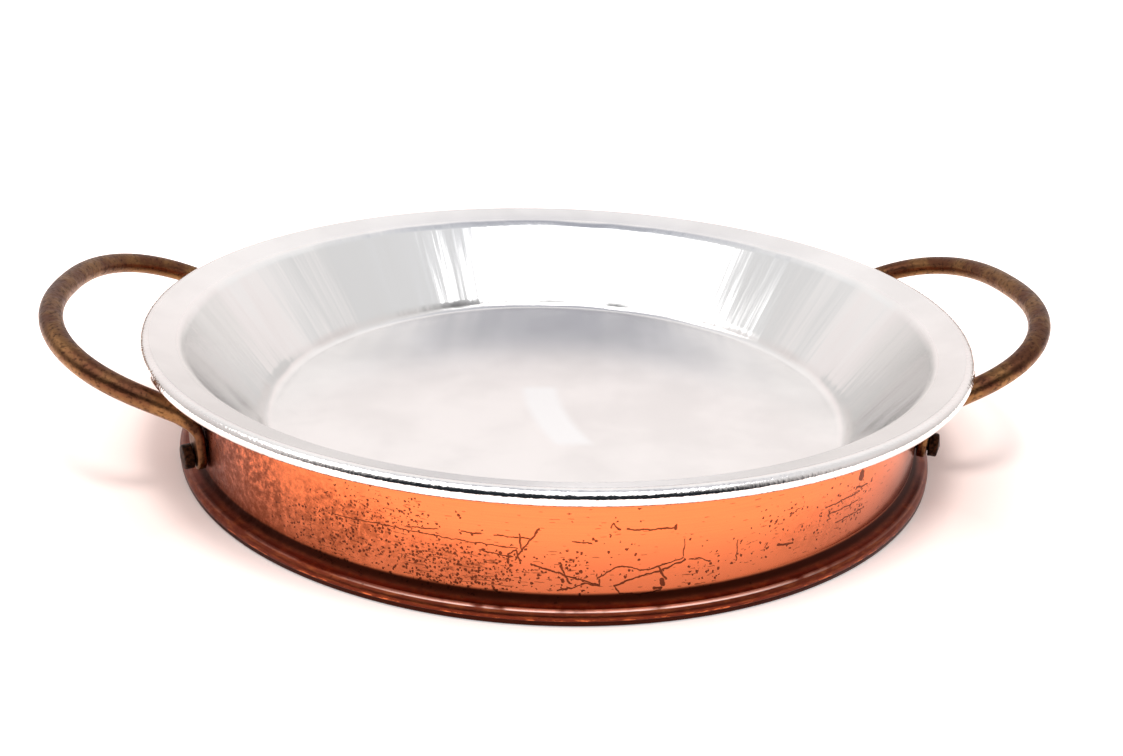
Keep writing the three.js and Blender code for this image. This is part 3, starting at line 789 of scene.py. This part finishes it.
dark_brass, tree = start_material("Darkened brass")
specks = add(tree, "TexNoise", {"Vector": place_in_mm(tree), "Scale": 1 / RIVET_SPECK, "Detail": 3.0})
specked = add(tree, "MapRange", [specks, *RIVET_SPECK_LEVELS], interpolation_type="SMOOTHSTEP")
rivet_colour = add(tree, "Mix", [specked, RIVET_BLACK, RIVET_BROWN], data_type="RGBA")
surface = add(tree, "Math", [specks, RIVET_SPECK_DEPTH], operation="MULTIPLY")
relief = add(tree, "Bump", {"Strength": 1.0, "Distance": MM, "Height": surface})
finish_tree(tree, "Material", add(tree, "BsdfPrincipled", {
    "Base Color": rivet_colour, "Metallic": 1.0, "Roughness": RIVET_SHEEN, "Normal": relief}))

tail_face = RING_RADIUS - SHEET - RIVET_GAP
head_face = RING_RADIUS + EAR_GAP + EAR_THICKNESS + RIVET_GAP


def make_rivet(name, node, angle):
    """Turns a rivet about Z from the tail up, then lays it through the wall."""
    bm = bmesh.new()
    dome = (TAIL_RADIUS ** 2 + TAIL_HEIGHT ** 2) / (2 * TAIL_HEIGHT)
    dome_turn = math.degrees(math.asin(TAIL_RADIUS / dome))
    draw_section(bm, (0, tail_face - TAIL_HEIGHT), 0, [
        (dome, dome_turn),
        (SHARP, 180 - dome_turn),
        (TAIL_RADIUS - SHANK_RADIUS, 0),
        (SHARP, -90),
        (head_face - tail_face, 0),
        (SHARP, -90),
        (HEAD_RADIUS - SHANK_RADIUS, 0),
        (HEAD_FOOT_RADIUS, 90),
        (HEAD_SIDE, 0),
        (HEAD_EDGE, HEAD_EDGE_TURN),
        (HEAD_RADIUS - HEAD_EDGE, 0)], RIVET_FACET)
    for vert in bm.verts:
        vert.co.x = max(vert.co.x, 0)
    turn_on_lathe(bm, RIVET_STEPS)
    bmesh.ops.holes_fill(bm, edges=bm.edges[:], sides=0)
    bmesh.ops.recalc_face_normals(bm, faces=bm.faces[:])
    bmesh.ops.rotate(bm, cent=(0, 0, 0), matrix=Matrix.Rotation(math.pi / 2, 3, "Y"), verts=bm.verts[:])
    bmesh.ops.rotate(bm, cent=(0, 0, 0), matrix=Matrix.Rotation(angle, 3, "Z"), verts=bm.verts[:])
    bmesh.ops.translate(bm, vec=(0, 0, RIVET_HEIGHT), verts=bm.verts[:])
    make_piece(bm, name, dark_brass, "holder", node)


for side, middle in (("right", 0), ("left", math.pi)):
    for end, turn in (("near", -1), ("far", 1)):
        angle = middle + (turn if side == "right" else -turn) * EAR_ANGLE
        make_rivet(f"rivet_head_{side}_{end}", f"rivet_{side}_{end}", angle)


# Studio. A table top of white paper that runs back out of sight, one large soft box above and in front, a
# little to the left, a small lamp high above, and a room that is white behind the table and dim on the
# camera's side. Sizes and places of the studio itself are in metres.
# The paper's pink tint shows only in its shadows, where it is painted light: the reddish light thrown from
# the copper
PAPER = colour("#FAE3DA")
TABLE_SIZE = 12.0
TABLE_GAP = 0.0002
floor_mesh = bpy.data.meshes.new("table_top")
bm = bmesh.new()
bmesh.ops.create_grid(bm, x_segments=1, y_segments=1, size=TABLE_SIZE / 2)
bmesh.ops.translate(bm, vec=(0, 0, -TABLE_GAP), verts=bm.verts[:])
bm.to_mesh(floor_mesh)
bm.free()
floor = bpy.data.objects.new("table_top", floor_mesh)
bpy.context.scene.collection.objects.link(floor)

# Matt paper, lifted towards white for the camera, in reflections and through glass. The lift is least
# under the object and grows away from it, so that the object's shadow stays, and it lights nothing.
# Radii and then places along Y, in mm, at which the lift begins and ends, and the lift at each.
FAR_LIFT = (118, 200, 0.1, 0.8)
FRONT_LIFT = (-40, -118, 0, 0.45)
white_paper, tree = start_material("White paper")
place = place_in_mm(tree)
axes = add(tree, "SeparateXYZ", [place])
level = add(tree, "VectorMath", [place, (1, 1, 0)], operation="MULTIPLY")
radius = add(tree, "VectorMath", [level], operation="LENGTH")
ray = add(tree, "LightPath").outputs
seen = add(tree, "Math", [ray["Is Camera Ray"], ray["Is Glossy Ray"]], operation="MAXIMUM")
seen = add(tree, "Math", [seen, ray["Is Transmission Ray"]], operation="MAXIMUM")
far_lift = add(tree, "MapRange", [radius, *FAR_LIFT], interpolation_type="SMOOTHSTEP")
front_lift = add(tree, "MapRange", [axes.outputs["Y"], *FRONT_LIFT], interpolation_type="SMOOTHSTEP")
lift = add(tree, "Math", [far_lift, front_lift], operation="MAXIMUM")
lift = add(tree, "Math", [seen, lift], operation="MULTIPLY")
glow = add(tree, "Emission", {"Color": (1, 1, 1, 1), "Strength": lift})
paper = add(tree, "BsdfDiffuse", {"Color": PAPER})
finish_tree(tree, "Material", add(tree, "AddShader", [paper, glow]))
floor_mesh.materials.append(white_paper)

# The camera stands where the photograph was taken from, 147 mm above the table, turned 6.4 degrees
# from the line across the handles. Its yaw, dip and roll are in radians.
CAMERA_TURN = math.radians(-6.4)
CAMERA_BACK = 0.3206
CAMERA_HEIGHT = 0.1469
CAMERA_YAW = -0.0045
CAMERA_DIP = 0.3967
CAMERA_ROLL = 0.0366
camera_data = bpy.data.cameras.new("camera")
camera_data.sensor_width = 36
camera_data.lens = 33.83
camera_data.clip_start = 0.01
camera = bpy.data.objects.new("camera", camera_data)
camera.matrix_world = (
    Matrix.Rotation(CAMERA_TURN, 4, "Z")
    @ Matrix.Translation((0, -CAMERA_BACK, CAMERA_HEIGHT))
    @ Matrix.Rotation(CAMERA_YAW, 4, "Z")
    @ Matrix.Rotation(math.pi / 2 - CAMERA_DIP, 4, "X")
    @ Matrix.Rotation(CAMERA_ROLL, 4, "Z"))
bpy.context.scene.collection.objects.link(camera)
bpy.context.scene.camera = camera

soft_box = bpy.data.lights.new("soft_box", "AREA")
soft_box.shape = "RECTANGLE"
soft_box.size = 1.26
soft_box.size_y = 0.5
soft_box.energy = 3.2
soft_box_object = bpy.data.objects.new("soft_box", soft_box)
soft_box_object.location = (-0.277, -0.242, 0.6)
soft_box_object.rotation_euler = (0, 0, math.radians(-19.3))
bpy.context.scene.collection.objects.link(soft_box_object)

# The small lamp draws the handles' shadows on the table and adds no highlight
ceiling_lamp = bpy.data.lights.new("ceiling_lamp", "AREA")
ceiling_lamp.shape = "DISK"
ceiling_lamp.size = 0.22
ceiling_lamp.energy = 3.2
ceiling_lamp_object = bpy.data.objects.new("ceiling_lamp", ceiling_lamp)
ceiling_lamp_object.location = (0.02, -0.24, 0.9)
ceiling_lamp_object.visible_glossy = False
bpy.context.scene.collection.objects.link(ceiling_lamp_object)

# The room's walls, from level (0) to straight up (1), behind the table and on the camera's side
WALLS_BEHIND = (
    (0, "#CCC8C6"), (0.1, "#E2DEDC"), (0.2, "#F2EEEC"), (0.32, "#F9F1F0"), (0.42, "#FFFAF9"),
    (0.62, "#FFFEFE"), (0.82, "#FEFEFF"), (0.92, "#E2E4EA"), (1, "#A6A9B4"))
WALLS_BEFORE = (
    (0, "#1C2024"), (0.5, "#24292E"), (0.66, "#32363B"), (0.8, "#83868D"), (1, "#A6A9B4"))
# How far a direction points to the camera's side, where a share of that side's wall begins and ends, and
# the share at each: one step for the sides of the room and one more for its front
SIDES = (-0.75, -0.15, 0, 0.25)
FRONT = (0.15, 0.72, 0, 0.75)

room = bpy.data.worlds.new("room")
bpy.context.scene.world = room
room.use_nodes = True
tree = room.node_tree
tree.nodes.clear()
direction = add(tree, "TexCoord").outputs["Generated"]
up = add(tree, "SeparateXYZ", [direction]).outputs["Z"]
walls = []
for stops in (WALLS_BEHIND, WALLS_BEFORE):
    wall = add(tree, "ValToRGB", [up])
    points = wall.color_ramp.elements
    # A new ramp already has a point at each end
    for stop, shade in stops[1:-1]:
        points.new(stop).color = colour(shade)
    points[0].color = colour(stops[0][1])
    points[-1].color = colour(stops[-1][1])
    walls.append(wall)
to_camera = Matrix.Rotation(CAMERA_TURN, 3, "Z") @ Vector((0, -1, 0))
facing = add(tree, "VectorMath", [direction, to_camera], operation="DOT_PRODUCT")
sides = add(tree, "MapRange", [facing, *SIDES], interpolation_type="SMOOTHSTEP")
front = add(tree, "MapRange", [facing, *FRONT], interpolation_type="SMOOTHSTEP")
before = add(tree, "Math", [sides, front], operation="ADD")
shown = add(tree, "Mix", [before, *walls], data_type="RGBA")
ray = add(tree, "LightPath").outputs
shown = add(tree, "Mix", [ray["Is Camera Ray"], shown, (1, 1, 1, 1)], data_type="RGBA")
finish_tree(tree, "World", add(tree, "Background", {"Color": shown, "Strength": 1.0}))

bpy.context.scene.view_settings.view_transform = "Standard"
